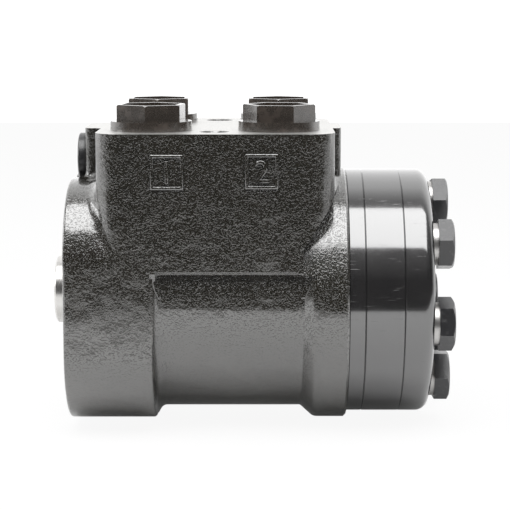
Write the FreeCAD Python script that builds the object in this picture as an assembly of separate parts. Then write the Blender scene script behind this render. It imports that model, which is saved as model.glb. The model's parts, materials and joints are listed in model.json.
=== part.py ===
"""Orbital steering unit: a rotary valve and a gerotor set in one cast housing.

Lengths are millimetres. X runs along the main axis from the column mounting face (X = 0)
to the end cover, and Z runs up to the port face.
"""
import FreeCAD, Part
import math
import os

V = FreeCAD.Vector
X_AXIS = V(1, 0, 0)
Y_AXIS = V(0, 1, 0)
Z_AXIS = V(0, 0, 1)
CENTRE = V(0, 0, 0)

# Clearances and small overshoots shared by all pieces
run_gap = 0.04            # radial gap of a turning or sliding fit
seat_gap = 0.02           # gap between pieces that are screwed or pressed together
side_gap = 0.05           # end play beside a turning piece
slack = 0.2               # free play where a fit isn't needed
over = 1.0                # how far a cutting tool passes the face that it cuts

# Valve set: spool in sleeve in bore
bore_radius = 19.0
sleeve_wall = 4.5
spool_wall = 4.0
neck_step = 1.8
neck_bore_gap = 0.4
spool_nose = 7.2
spool_nose_chamfer = 0.6
spool_rear_gap = 5.0
spool_web = 4.0
spool_groove_width = 4.0
spool_groove_depth = 1.3
spool_groove_count = 6
spool_turn_each_way = 8.0
socket_depth = 20.0
socket_teeth = 12
socket_wall = 4.25
socket_tooth_depth = 1.1
socket_mouth = 2.0
sleeve_port_radius = 1.6
sleeve_port_count = 6
sleeve_port_row_turn = 15.0
feed_port_radius = 1.5
feed_port_count = 12
feed_port_from_rear = 12.0

# Seals in front of the spool
dust_seal_width = 4.0
dust_seal_section = 4.8
shaft_seal_width = 3.2
shaft_seal_section = 3.5
shaft_seal_ring_wall = 1.8
shaft_seal_ring_corner = 0.3
energiser_corner = 0.6
seal_land = 1.2
bearing_land = 3.6

# Thrust bearing in front of the sleeve
race_width = 1.2
race_radial_gap = 0.4
needle_radius = 1.1
needle_length = 3.6
needle_count = 16
cage_width = 1.5

# Centring springs and the cross pin
spring_from_sleeve_front = 6.5
leaf_width = 7.0
leaf_thickness = 0.8
leaf_count = 6
leaf_side_gap = 0.1
spring_ring_wall = 1.5
spring_ring_width = 8.6
pin_from_sleeve_front = 19.0
pin_radius = 4.0
pin_chamfer = 0.5
pin_end_gap = 0.3

# Drive shaft and the spacer behind it
fork_gap = 1.1
fork_front = 8.5
fork_back = 9.0
fork_slot_gap = 0.06
shaft_waist = 3.1
head_teeth = 12
head_step = 0.1
head_tooth_depth = 1.2
head_play = 0.3
head_front_inset = 1.2
head_rear_inset = 3.8
spacer_gap = 0.15
tooth_tip_share = 0.34    # share of the pitch that a spline tooth takes at its tip
tooth_root_share = 0.54   # and at its root

# Gerotor set, distributor plate and end cover
star_teeth = 6
ring_lobes = 7
eccentricity = 3.0
lobe_radius = 8.0
pocket_clearance = 0.35
star_clearance = 0.07
star_points_per_tooth = 20
oil_hole_radius = 2.4
oil_hole_wall = 5.4
oil_hole_depth = 16.0
lobe_from_oil_hole = 5.2
disc_edge = 0.3
disc_rim = 4.0
plate_width = 5.9
plate_bore_radius = 12.0
ring_width = 14.0
cover_width = 10.9
cover_edge_radius = 4.2

# Cover bolts, washers and joint seals
bolt_from_lobe = 1.5
bolt_radius = 5.0
bolt_hole_radius = 5.25
bolt_grip_depth = 16.0
bolt_hole_spare = 3.0
bolt_head_flats = 17.0
bolt_head_height = 5.7
bolt_face_share = 0.95    # flat circle on the head, as a share of its width across flats
bolt_bevel_angle = 30.0
bolt_turns = (-10.0, -15.4, 16.0, -3.3, 17.0, -20.0, 3.0)
washer_radius = 7.75
washer_width = 2.0
seal_from_bolts = 8.5
seal_section = 1.9
seal_corner_share = 0.35
seal_groove_depth = 1.3
seal_groove_slack = 0.15

# Suction ball at the end of one bolt hole
stop_bolt_index = 3
stop_pin_radius = 1.5
stop_pin_length = 4.5
suction_ball_radius = 4.0
suction_bore_gap = 0.4
suction_travel = 2.0

# Housing: front flange, body, rear flange
body_step = 2.0
flange_length = 32.0
flange_rim = 2.0
flange_foot_inset = 1.0
flange_foot_radius = 29.0
flange_top_radius = 30.0
flange_edge = 1.2
flange_cove = 3.0
rear_flange_step = 3.5
rear_flange_drop = 0.9    # the rear flange is cast this much below the main axis
rear_flange_length = 12.1
rear_cone_length = 5.4
rear_cone_start_inset = 1.3
rear_cove = 3.0
rear_shoulder = 3.5
rear_edge = 0.8

# Housing: port block and central rib
block_start = 11.5
block_overhang = 2.0
block_corner = 10.0
block_foot = 12.7
block_underside_run = 21.6
block_underside_inset = 5.0
block_foot_radius = 1.5
front_flare = 5.0
rear_flare = 3.0
port_face_rise = 18.5
block_to_rear_face = 5.2
rib_overhang = 6.3
rib_to_rear_face = 2.0
rib_wall = 1.0
rib_corner = 3.0
rib_fillet = 2.4

# Column mounting face
mount_hole_inset = 4.75
mount_hole_radius = 4.25
mount_hole_depth = 20.0
mount_holes = 4

# Port face
first_port_from_block = 19.1
last_port_from_block = 19.9
port_spacing = 46.5
port_from_block_side = 22.75
port_radius = 9.5
port_depth = 15.0
tapped_from_block_side = 13.0
tapped_radius = 4.25
tapped_depth = 17.0
tapped_chamfer = 1.2

# Oil grooves around the main bore and the galleries from the ports
groove_depth = 3.0
groove_width = 4.5
groove_from_pin = 2.6
groove_pitch = 8.2
groove_order = (0, 3, 1, 2)
gallery_radius = 3.6

# Port plugs
plug_flats = 23.0
plug_hex_height = 6.0
plug_wall = 1.7
plug_recess_floor = 1.0
plug_hollow_radius = 7.6
plug_hollow_floor = 3.0
plug_collar_radius = 14.8
plug_collar_height = 1.9
plug_seal_height = 1.5
plug_seal_overhang = 0.1
plug_tip_gap = 0.5
plug_corner_cut = 0.5
plug_turns = (24.0, -7.0, 30.0, 30.0)

# Relief valve along X in the rib
relief_y = -2.0
relief_from_port_face = 11.4
relief_spot_radius = 11.0
relief_thread_radius = 7.0
relief_thread_depth = 13.0
relief_bore_radius = 5.4
relief_bore_depth = 40.0
relief_drill_radius = 2.4
relief_drill_depth = 8.0
relief_head_radius = 8.85
relief_head_width = 2.3
relief_head_chamfer = 0.4
relief_washer_width = 0.8
relief_washer_rim = 0.3
relief_shank_length = 9.0
relief_socket_flats = 8.0
relief_socket_depth = 4.5
adjuster_length = 6.0
adjuster_depth = 12.5
adjuster_socket_flats = 5.0
adjuster_socket_depth = 3.0
spring_wire_radius = 0.75
spring_coil_radius = 3.9
spring_turns = 5.0
poppet_gap = 0.5
poppet_guide_length = 3.5
poppet_cone_length = 3.2
poppet_cone_gap = 0.6
poppet_tip_radius = 1.2
seat_length = 5.0
seat_cone_wall = 0.8

# Check valve under the pressure port
check_port_index = 1
check_bush_radius = 7.4
check_bush_length = 3.5
check_bush_hole_radius = 3.6
check_bore_gap = 0.4
check_bore_depth = 14.0
check_ball_radius = 4.8
check_travel = 1.8
check_pin_radius = 1.0
check_pin_gap = 0.05

# Radii that follow from the bore outwards and inwards
sleeve_radius = bore_radius - run_gap
sleeve_inner_radius = bore_radius - sleeve_wall
spool_radius = sleeve_inner_radius - run_gap
spool_bore_radius = sleeve_inner_radius - spool_wall
neck_radius = sleeve_inner_radius - neck_step
neck_bore_radius = neck_radius + neck_bore_gap
socket_root_radius = neck_radius - socket_wall
socket_tip_radius = socket_root_radius - socket_tooth_depth
dust_seal_radius = neck_radius + dust_seal_section
shaft_seal_radius = neck_radius + shaft_seal_section
fork_radius = spool_bore_radius - fork_gap
shaft_radius = fork_radius - shaft_waist
head_tip_radius = fork_radius - head_step
head_root_radius = head_tip_radius - head_tooth_depth
groove_radius = bore_radius + groove_depth
oil_hole_circle = bore_radius + oil_hole_wall + oil_hole_radius
lobe_circle_radius = oil_hole_circle + lobe_from_oil_hole
bolt_circle_radius = lobe_circle_radius + bolt_from_lobe
seal_circle = bolt_circle_radius + seal_from_bolts
disc_radius = seal_circle + disc_rim
body_radius = disc_radius - body_step
rear_radius = body_radius + rear_flange_step
flange_half_width = body_radius + flange_rim
flange_top = body_radius
flange_foot = flange_half_width - flange_foot_inset
mount_circle_radius = flange_half_width - mount_hole_inset
block_half_width = body_radius + block_overhang
port_face = body_radius + port_face_rise
plug_shank_length = port_depth - check_bush_length - plug_tip_gap

# Places along the main axis that follow, and those on the port face
port_x = (block_start + first_port_from_block, block_start + first_port_from_block + port_spacing)
port_y = block_half_width - port_from_block_side
block_end = port_x[1] + last_port_from_block
housing_length = block_end + block_to_rear_face
rear_cone_start = housing_length - rear_flange_length - rear_cone_length
tapped_x = (port_x[0] + port_x[1]) / 2
tapped_y = block_half_width - tapped_from_block_side
rib_start = block_start - rib_overhang
rib_end = housing_length - rib_to_rear_face
rib_half_width = relief_spot_radius - relief_y + rib_wall
relief_z = port_face - relief_from_port_face
seat_cone_radius = relief_bore_radius - seat_cone_wall
check_bore_radius = check_ball_radius + check_bore_gap
plate_end = housing_length + plate_width
ring_end = plate_end + ring_width
cover_end = ring_end + cover_width
bore_start = dust_seal_width + seal_land + shaft_seal_width + bearing_land
race_front_end = bore_start + race_width
cage_middle = race_front_end + side_gap + needle_radius
race_rear_start = cage_middle + needle_radius + side_gap
sleeve_start = race_rear_start + race_width + side_gap
sleeve_end = housing_length - side_gap
spool_end = housing_length - spool_rear_gap
spring_x = sleeve_start + spring_from_sleeve_front
pin_x = sleeve_start + pin_from_sleeve_front
first_groove_x = pin_x + pin_radius + groove_from_pin
groove_x = [first_groove_x + groove_pitch * place for place in groove_order]
star_middle = (plate_end + ring_end) / 2
shaft_tilt = math.degrees(math.atan2(eccentricity, star_middle - pin_x))
lobe_step = 360.0 / ring_lobes


def rod(x_from, x_to, radius, y=0.0, z=0.0):
    """Solid cylinder along X."""
    return Part.makeCylinder(radius, x_to - x_from, V(x_from, y, z), X_AXIS)


def post(z_from, z_to, radius, x=0.0, y=0.0):
    """Solid cylinder along Z."""
    return Part.makeCylinder(radius, z_to - z_from, V(x, y, z_from), Z_AXIS)


def fused(shapes):
    """One solid from several that touch or overlap."""
    return shapes[0].multiFuse(shapes[1:]).removeSplitter()


def group(shapes):
    """Separate solids that share one node."""
    return Part.makeCompound(shapes)


def turned(corners):
    """Solid turned about the main axis from straight runs between (x, radius) corners."""
    points = [V(x, 0, radius) for x, radius in corners]
    face = Part.Face(Part.makePolygon(points + [points[0]]))
    return face.revolve(CENTRE, X_AXIS, 360)


def rounded_wire(corners, place):
    """Closed outline through (a, b, radius) corners with tangent arcs; place puts (a, b) in space."""
    starts = []
    ends = []
    middles = []
    count = len(corners)
    for index, (a, b, radius) in enumerate(corners):
        corner = V(a, b, 0)
        back = V(corners[index - 1][0], corners[index - 1][1], 0).sub(corner).normalize()
        ahead = V(corners[(index + 1) % count][0], corners[(index + 1) % count][1], 0)
        ahead = ahead.sub(corner).normalize()
        half = back.getAngle(ahead) / 2
        run = radius / math.tan(half)
        inward = back.add(ahead).normalize()
        starts.append(corner.add(back * run))
        ends.append(corner.add(ahead * run))
        middles.append(corner.add(inward * (radius / math.sin(half) - radius)))
    edges = []
    for index in range(count):
        if corners[index][2] > 0:
            arc = Part.Arc(place(starts[index]), place(middles[index]), place(ends[index]))
            edges.append(arc.toShape())
        following = starts[(index + 1) % count]
        if following.distanceToPoint(ends[index]) > 1e-6:
            edges.append(Part.LineSegment(place(ends[index]), place(following)).toShape())
    return Part.Wire(edges)


def end_prism(corners, x_from, x_to):
    """Rounded (y, z, radius) outline drawn across the main axis and pushed along X."""
    wire = rounded_wire(corners, lambda p: V(x_from, p.x, p.y))
    return Part.Face(wire).extrude(V(x_to - x_from, 0, 0))


def plan_prism(corners, z_from, z_to):
    """Rounded (x, y, radius) outline drawn from above and pushed along Z."""
    wire = rounded_wire(corners, lambda p: V(p.x, p.y, z_from))
    return Part.Face(wire).extrude(V(0, 0, z_to - z_from))


def turned_ring(x_from, x_to, inner, outer, corner):
    """Seal ring with rounded corners, turned about the main axis."""
    outline = [(x_from, inner, corner), (x_to, inner, corner), (x_to, outer, corner),
               (x_from, outer, corner)]
    wire = rounded_wire(outline, lambda p: V(p.x, 0, p.y))
    return Part.Face(wire).revolve(CENTRE, X_AXIS, 360)


def hex_corner(flats):
    """Distance from a hexagon's middle to its corners."""
    return flats / 2 / math.cos(math.pi / 6)


def hex_wire(flats, place):
    """Hexagon of a given width across flats."""
    reach = hex_corner(flats)
    points = [place(reach * math.cos(math.radians(60 * k)), reach * math.sin(math.radians(60 * k)))
              for k in range(6)]
    return Part.makePolygon(points + [points[0]])


def hex_along_x(flats, x_from, x_to, turn=0.0):
    """Hexagonal bar along X, turned about its own axis."""
    bar = Part.Face(hex_wire(flats, lambda a, b: V(x_from, a, b))).extrude(V(x_to - x_from, 0, 0))
    bar.rotate(CENTRE, X_AXIS, turn)
    return bar


def hex_along_z(flats, z_from, z_to, turn=0.0):
    """Hexagonal bar along Z, turned about its own axis."""
    bar = Part.Face(hex_wire(flats, lambda a, b: V(a, b, z_from))).extrude(V(0, 0, z_to - z_from))
    bar.rotate(CENTRE, Z_AXIS, turn)
    return bar


def toothed_bar(x_from, x_to, count, tip, root, play=0.0):
    """Straight-sided splined bar along X; play grows it all over, to cut a splined hole."""
    pitch = 2 * math.pi / count
    tip_half = pitch * tooth_tip_share / 2 + play / tip
    root_half = pitch * tooth_root_share / 2 + play / root
    points = []
    for tooth in range(count):
        for radius, side in ((root, -root_half), (tip, -tip_half), (tip, tip_half), (root, root_half)):
            angle = tooth * pitch + side
            reach = radius + play
            points.append(V(x_from, reach * math.cos(angle), reach * math.sin(angle)))
    return Part.Face(Part.makePolygon(points + [points[0]])).extrude(V(x_to - x_from, 0, 0))


def around(radius, degrees):
    """(y, z) on a circle about the main axis; 0 degrees is straight up."""
    return -radius * math.sin(math.radians(degrees)), radius * math.cos(math.radians(degrees))


def bolt_places():
    """(y, z) of the seven cover bolts, the first one at the top."""
    return [around(bolt_circle_radius, lobe_step * k) for k in range(ring_lobes)]


def oil_places():
    """(y, z) of the oil holes, halfway between the bolts."""
    return [around(oil_hole_circle, lobe_step * (k + 0.5)) for k in range(ring_lobes)]


def port_places():
    """(x, y) of the four ports: near pair first."""
    return [(port_x[0], -port_y), (port_x[1], -port_y), (port_x[0], port_y), (port_x[1], port_y)]


def seal_groove(face_x):
    """Groove for a joint seal, cut back from a face at face_x."""
    inner = seal_circle - seal_section / 2 - seal_groove_slack
    outer = seal_circle + seal_section / 2 + seal_groove_slack
    start = face_x - seal_groove_depth
    return rod(start, face_x + over, outer).cut(rod(start - over, face_x + 2 * over, inner))


def meeting_curves(shape, first, second, lowest):
    """Curved edges of a shape, above a height, that lie on the skins of both given solids."""
    found = []
    for edge in shape.Edges:
        middle = Part.Vertex(edge.valueAt((edge.FirstParameter + edge.LastParameter) / 2))
        on_first = first.Shells[0].distToShape(middle)[0] < 1e-4
        on_second = second.Shells[0].distToShape(middle)[0] < 1e-4
        curved = edge.Length > edge.firstVertex().Point.distanceToPoint(edge.lastVertex().Point) + 1e-4
        if on_first and on_second and curved and edge.BoundBox.ZMin > lowest - 0.01:
            found.append(edge)
    return found


def front_flange():
    """Mounting flange with rounded corners and softened edges."""
    corners = [(-flange_half_width, -flange_foot, flange_foot_radius),
               (flange_half_width, -flange_foot, flange_foot_radius),
               (flange_half_width, flange_top, flange_top_radius),
               (-flange_half_width, flange_top, flange_top_radius)]
    flange = end_prism(corners, 0, flange_length)
    rims = [edge for edge in flange.Edges if edge.BoundBox.XLength < 0.001]
    flange = flange.makeFillet(flange_edge, rims)
    cove = rounded_wire([(flange_length - over, 0, 0), (flange_length - over, body_radius + flange_cove, 0),
                         (flange_length, body_radius + flange_cove, 0),
                         (flange_length, body_radius, flange_cove),
                         (flange_length + 2 * flange_cove, body_radius, 0),
                         (flange_length + 2 * flange_cove, 0, 0)], lambda p: V(p.x, 0, p.y))
    cove = Part.Face(cove).revolve(CENTRE, X_AXIS, 360)
    return flange, cove.common(end_prism(corners, flange_length - over,
                                         flange_length + 2 * flange_cove))


def round_body():
    """Round body that ends in the rear flange, which is cast a little below the main axis."""
    cone_end = rear_cone_start + rear_cone_length
    hidden_radius = body_radius - rear_cone_start_inset
    hidden_start = rear_cone_start - 2 * rear_cove
    outline = rounded_wire([(hidden_start, 0, 0), (hidden_start, hidden_radius, 0),
                            (rear_cone_start, hidden_radius, rear_cove),
                            (cone_end, rear_radius, rear_shoulder),
                            (housing_length - rear_edge, rear_radius, 0),
                            (housing_length, rear_radius - rear_edge, 0), (housing_length, 0, 0)],
                           lambda p: V(p.x, 0, p.y))
    flange = Part.Face(outline).revolve(CENTRE, X_AXIS, 360)
    flange.translate(V(0, 0, -rear_flange_drop))
    return fused([rod(over, housing_length - rear_edge, body_radius), flange])


def port_block():
    """Port block: rounded from above, with an underside that runs in to the body."""
    plan = plan_prism([(block_start, -block_half_width, block_corner),
                       (block_end, -block_half_width, block_corner),
                       (block_end, block_half_width, block_corner),
                       (block_start, block_half_width, block_corner)], 0, port_face)
    underside = block_foot - block_underside_run
    inset = block_half_width - block_underside_inset
    section = end_prism([(-block_half_width, block_foot, block_foot_radius), (-inset, underside, 0),
                         (inset, underside, 0), (block_half_width, block_foot, block_foot_radius),
                         (block_half_width, port_face, 0), (-block_half_width, port_face, 0)],
                        block_start - over, block_end + over)
    return plan.common(section)


def central_rib():
    """Rib across the block's middle that carries the relief valve."""
    return plan_prism([(rib_start, -rib_half_width, rib_corner), (rib_end, -rib_half_width, rib_corner),
                       (rib_end, rib_half_width, rib_corner), (rib_start, rib_half_width, rib_corner)],
                      0, port_face)


def housing_outside():
    """Cast outer form before any machining."""
    flange, cove = front_flange()
    body = round_body()
    block = port_block()
    rib = central_rib()
    shape = fused([flange, cove, body, block, rib])
    shape = shape.makeFillet(front_flare, meeting_curves(shape, flange, block,
                                                         flange_top - flange_top_radius))
    body_corner = math.sqrt(rear_radius ** 2 - block_half_width ** 2) - rear_flange_drop
    shape = shape.makeFillet(rear_flare, meeting_curves(shape, body, block, body_corner))
    step = block_start - rib_start - rib_corner
    corners = [edge for edge in shape.Edges
               if edge.BoundBox.ZLength > 1 and edge.BoundBox.XLength < 0.01
               and abs(edge.BoundBox.XMin - block_start) < 0.01
               and abs(abs(edge.BoundBox.YMin) - rib_half_width) < 0.01
               and edge.BoundBox.YLength < 0.01]
    return shape.makeFillet(min(rib_fillet, 0.8 * step), corners)


def relief_bores():
    """Bores of the relief valve, cut from the rib's front face."""
    shoulder = rib_start + relief_bore_depth
    drill_end = shoulder + relief_drill_depth
    down_x = drill_end - relief_drill_radius
    return [rod(-over, rib_start, relief_spot_radius, relief_y, relief_z),
            rod(rib_start - over, rib_start + relief_thread_depth, relief_thread_radius,
                relief_y, relief_z),
            rod(rib_start, shoulder, relief_bore_radius, relief_y, relief_z),
            rod(rib_start, drill_end, relief_drill_radius, relief_y, relief_z),
            post(bore_radius - over, relief_z, relief_drill_radius, down_x, relief_y)]


def port_bores():
    """Threaded ports, their galleries to the main bore, and the check valve's pocket."""
    cuts = []
    floor = port_face - port_depth
    for (x, y), groove in zip(port_places(), groove_x):
        cuts.append(post(floor, port_face + over, port_radius, x, y))
        start = V(x, y, floor + over)
        side = math.copysign(1.0, y)
        end = V(groove, side * bore_radius * math.sin(math.pi / 4), bore_radius * math.cos(math.pi / 4))
        run = end.sub(start)
        cuts.append(Part.makeCylinder(gallery_radius, run.Length, start, run))
    x, y = port_places()[check_port_index]
    cuts.append(post(floor - check_bore_depth, floor + over, check_bore_radius, x, y))
    return cuts


def main_bore():
    """Stepped bore for seals, bearing, sleeve and spool, with its oil grooves."""
    dust_end = dust_seal_width
    seal_start = dust_end + seal_land
    seal_end = seal_start + shaft_seal_width
    cuts = [rod(-over, dust_end, dust_seal_radius),
            rod(seal_start, seal_end, shaft_seal_radius),
            rod(-over, bore_start + over, neck_bore_radius),
            rod(bore_start, housing_length + over, bore_radius)]
    for x in groove_x:
        cuts.append(rod(x - groove_width / 2, x + groove_width / 2, groove_radius))
    return cuts


def rear_face_holes():
    """Bolt holes and oil holes in the rear face, and the suction ball's pocket."""
    cuts = []
    grip_end = housing_length - bolt_grip_depth
    for y, z in bolt_places():
        cuts.append(rod(grip_end - bolt_hole_spare, housing_length + over, bolt_radius + seat_gap, y, z))
    y, z = bolt_places()[stop_bolt_index]
    cuts.append(rod(suction_end(), grip_end, suction_ball_radius + suction_bore_gap, y, z))
    for y, z in oil_places():
        cuts.append(rod(housing_length - oil_hole_depth, housing_length + over, oil_hole_radius, y, z))
    return cuts


def suction_end():
    """X of the floor of the suction ball's pocket."""
    pin_end = housing_length - bolt_grip_depth - stop_pin_length
    return pin_end - suction_travel - 2 * suction_ball_radius - 2 * side_gap


def housing():
    """Cast housing with all its machined faces and bores."""
    shape = housing_outside()
    cuts = main_bore() + relief_bores() + port_bores() + rear_face_holes()
    for k in range(mount_holes):
        y, z = around(mount_circle_radius, (k + 0.5) * 360.0 / mount_holes)
        cuts.append(rod(-over, mount_hole_depth, mount_hole_radius, y, z))
    for side in (-1, 1):
        cuts.append(post(port_face - tapped_depth, port_face + over, tapped_radius,
                         tapped_x, side * tapped_y))
        cuts.append(Part.makeCone(tapped_radius, tapped_radius + 2 * tapped_chamfer, 2 * tapped_chamfer,
                                  V(tapped_x, side * tapped_y, port_face - tapped_chamfer), Z_AXIS))
    cuts.append(seal_groove(housing_length))
    return shape.cut(cuts)


def edged_disc(x_from, x_to):
    """One of the three discs, with its small edge chamfers."""
    return turned([(x_from, 0), (x_from, disc_radius - disc_edge), (x_from + disc_edge, disc_radius),
                   (x_to - disc_edge, disc_radius), (x_to, disc_radius - disc_edge), (x_to, 0)])


def distributor_plate():
    """Plate between housing and gerotor, with an oil hole for each pocket."""
    cuts = [rod(housing_length - over, plate_end + over, plate_bore_radius)]
    for y, z in bolt_places():
        cuts.append(rod(housing_length - over, plate_end + over, bolt_hole_radius, y, z))
    for y, z in oil_places():
        cuts.append(rod(housing_length - over, plate_end + over, oil_hole_radius, y, z))
    cuts.append(seal_groove(plate_end))
    return edged_disc(housing_length, plate_end).cut(cuts)


def gerotor_ring():
    """Outer gerotor member: seven round lobes and the pockets between them."""
    lobe_tip = lobe_circle_radius - lobe_radius
    cavity = rod(plate_end - over, ring_end + over, lobe_tip + 2 * eccentricity + pocket_clearance)
    lobes = [rod(plate_end - 2 * over, ring_end + 2 * over, lobe_radius,
                 *around(lobe_circle_radius, lobe_step * k)) for k in range(ring_lobes)]
    cuts = [cavity.cut(lobes)]
    for y, z in bolt_places():
        cuts.append(rod(plate_end - over, ring_end + over, bolt_hole_radius, y, z))
    cuts.append(seal_groove(ring_end))
    return edged_disc(plate_end, ring_end).cut(cuts)


def star_outline(x):
    """Inner gerotor profile: the path of a ring lobe's centre seen from the star, set in by the lobe."""
    points = []
    steps = star_points_per_tooth * star_teeth
    inset = lobe_radius + star_clearance
    for step in range(steps):
        turn = 2 * math.pi * step / steps
        spin = ring_lobes * turn
        across = -lobe_circle_radius * math.sin(turn) + eccentricity * math.sin(spin)
        up = lobe_circle_radius * math.cos(turn) - eccentricity * math.cos(spin)
        run_across = -lobe_circle_radius * math.cos(turn) + ring_lobes * eccentricity * math.cos(spin)
        run_up = -lobe_circle_radius * math.sin(turn) + ring_lobes * eccentricity * math.sin(spin)
        length = math.hypot(run_across, run_up)
        points.append(V(x, across - inset * run_up / length,
                        up + inset * run_across / length + eccentricity))
    curve = Part.BSplineCurve()
    curve.interpolate(Points=points, PeriodicFlag=True)
    return Part.Wire(curve.toShape())


def gerotor_star():
    """Inner gerotor member with six teeth and the splined hole for the drive shaft."""
    front = plate_end + side_gap
    blank = Part.Face(star_outline(front)).extrude(V(ring_width - 2 * side_gap, 0, 0))
    hole = toothed_bar(front - over, ring_end + over, head_teeth, head_tip_radius, head_root_radius,
                       head_play)
    hole.translate(V(0, 0, eccentricity))
    return blank.cut(hole)


def star_spacer():
    """Round spacer in the star's hole, between the drive shaft and the end cover."""
    head_corner_rise = head_tip_radius * math.sin(math.radians(shaft_tilt))
    start = ring_end - head_rear_inset + head_corner_rise + side_gap
    return rod(start, ring_end - side_gap, head_root_radius - spacer_gap, 0, eccentricity)


def end_cover():
    """Thick cover with a rounded outer edge."""
    disc = turned([(ring_end, 0), (ring_end, disc_radius - disc_edge), (ring_end + disc_edge, disc_radius),
                   (cover_end, disc_radius), (cover_end, 0)])
    outer = [edge for edge in disc.Edges
             if abs(edge.BoundBox.XMin - cover_end) < 1e-6 and edge.BoundBox.YLength > disc_radius]
    disc = disc.makeFillet(cover_edge_radius, outer)
    return disc.cut([rod(ring_end - over, cover_end + over, bolt_hole_radius, y, z)
                     for y, z in bolt_places()])


def hex_bolt(turn):
    """Cover bolt on the main axis: shank, and a hex head with its outer corners turned off."""
    head_start = cover_end + washer_width
    head_end = head_start + bolt_head_height
    head = hex_along_x(bolt_head_flats, head_start, head_end, turn)
    corner_radius = hex_corner(bolt_head_flats) + seat_gap
    face_radius = bolt_head_flats / 2 * bolt_face_share
    cone_rise = (corner_radius - face_radius) * math.tan(math.radians(bolt_bevel_angle))
    envelope = turned([(head_start - over, 0), (head_start - over, corner_radius),
                       (head_end - cone_rise, corner_radius), (head_end, face_radius), (head_end, 0)])
    shank = rod(housing_length - bolt_grip_depth, head_start + over, bolt_radius)
    return fused([head.common(envelope), shank])


def placed_bolt(index):
    """Cover bolt at one of the seven places."""
    bolt = hex_bolt(bolt_turns[index % len(bolt_turns)])
    y, z = bolt_places()[index]
    bolt.translate(V(0, y, z))
    return bolt


def cover_bolts():
    """The plain cover bolts."""
    return group([placed_bolt(k) for k in range(ring_lobes) if k != stop_bolt_index])


def stop_pin_bolt():
    """The bolt whose pin keeps the suction ball in its pocket."""
    y, z = bolt_places()[stop_bolt_index]
    end = housing_length - bolt_grip_depth
    pin = rod(end - stop_pin_length, end + over, stop_pin_radius, y, z)
    return fused([placed_bolt(stop_bolt_index), pin])


def sealing_washers():
    """Washers under the bolt heads."""
    return group([rod(cover_end, cover_end + washer_width, washer_radius, y, z)
                  .cut(rod(cover_end - over, cover_end + washer_width + over, bolt_hole_radius, y, z))
                  for y, z in bolt_places()])


def joint_seal(face_x):
    """Seal ring squeezed into the groove of a face at face_x."""
    return turned_ring(face_x - seal_groove_depth, face_x, seal_circle - seal_section / 2,
                       seal_circle + seal_section / 2, seal_groove_depth * seal_corner_share)


def control_spool():
    """Inner valve member: splined nose, ported body, slots for the leaf springs and the cross pin."""
    shoulder = sleeve_start + side_gap
    shape = turned([(-spool_nose, 0), (-spool_nose, neck_radius - spool_nose_chamfer),
                    (-spool_nose + spool_nose_chamfer, neck_radius), (shoulder, neck_radius),
                    (shoulder, spool_radius), (spool_end, spool_radius), (spool_end, 0)])
    socket_end = socket_depth - spool_nose
    cuts = [toothed_bar(-spool_nose - over, socket_end, socket_teeth, socket_root_radius,
                        socket_tip_radius - slack),
            rod(-spool_nose - over, socket_end, socket_tip_radius),
            Part.makeCone(socket_tip_radius + socket_mouth + socket_tooth_depth, socket_tip_radius,
                          socket_mouth, V(-spool_nose, 0, 0), X_AXIS),
            rod(socket_end + spool_web, spool_end + over, spool_bore_radius)]
    pin_slot = pin_radius + spool_radius * math.sin(math.radians(spool_turn_each_way)) + slack
    cuts.append(Part.makeCylinder(pin_slot, 4 * spool_radius, V(pin_x, -2 * spool_radius, 0), Y_AXIS))
    cuts.append(leaf_slot(spool_radius + over))
    groove_start = pin_x + pin_slot + spool_groove_width
    groove_length = spool_end - feed_port_from_rear - groove_start
    for k in range(spool_groove_count):
        groove = Part.makeBox(groove_length, spool_groove_width, spool_groove_depth + over,
                              V(groove_start, -spool_groove_width / 2, spool_radius - spool_groove_depth))
        groove.rotate(CENTRE, X_AXIS, (k + 0.5) * 360.0 / spool_groove_count)
        cuts.append(groove)
    return shape.cut(cuts)


def leaf_slot(reach):
    """Slot right across the valve for the pack of leaf springs."""
    half_pack = leaf_count * leaf_thickness / 2 + seat_gap
    half_width = leaf_width / 2 + leaf_side_gap
    return Part.makeBox(2 * half_width, 2 * half_pack, 2 * reach,
                        V(spring_x - half_width, -half_pack, -reach))


def control_sleeve():
    """Outer valve member, turned by the drive shaft through the cross pin."""
    ring_start = spring_x - spring_ring_width / 2
    ring_stop = spring_x + spring_ring_width / 2
    seat = sleeve_radius - spring_ring_wall
    shape = turned([(sleeve_start, sleeve_inner_radius), (sleeve_start, sleeve_radius),
                    (ring_start, sleeve_radius), (ring_start, seat), (ring_stop, seat),
                    (ring_stop, sleeve_radius), (sleeve_end, sleeve_radius),
                    (sleeve_end, sleeve_inner_radius)])
    cuts = [leaf_slot(sleeve_radius + over),
            Part.makeCylinder(pin_radius + seat_gap, 4 * sleeve_radius, V(pin_x, -2 * sleeve_radius, 0),
                              Y_AXIS)]
    for row, x in enumerate(groove_x):
        cuts += radial_drills(x, sleeve_port_radius, sleeve_port_count,
                              row * sleeve_port_row_turn)
    cuts += radial_drills(sleeve_end - feed_port_from_rear, feed_port_radius, feed_port_count, 0.0)
    return shape.cut(cuts)


def radial_drills(x, radius, count, turn):
    """Ring of radial holes through the sleeve's wall."""
    drills = []
    for k in range(count):
        drill = post(sleeve_inner_radius - over, sleeve_radius + over, radius, x)
        drill.rotate(CENTRE, X_AXIS, turn + k * 360.0 / count)
        drills.append(drill)
    return drills


def spring_ring():
    """Ring that keeps the leaf springs in their slots."""
    inner = sleeve_radius - spring_ring_wall + seat_gap
    half = spring_ring_width / 2 - seat_gap
    return rod(spring_x - half, spring_x + half, sleeve_radius - run_gap).cut(
        rod(spring_x - spring_ring_width, spring_x + spring_ring_width, inner))


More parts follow.
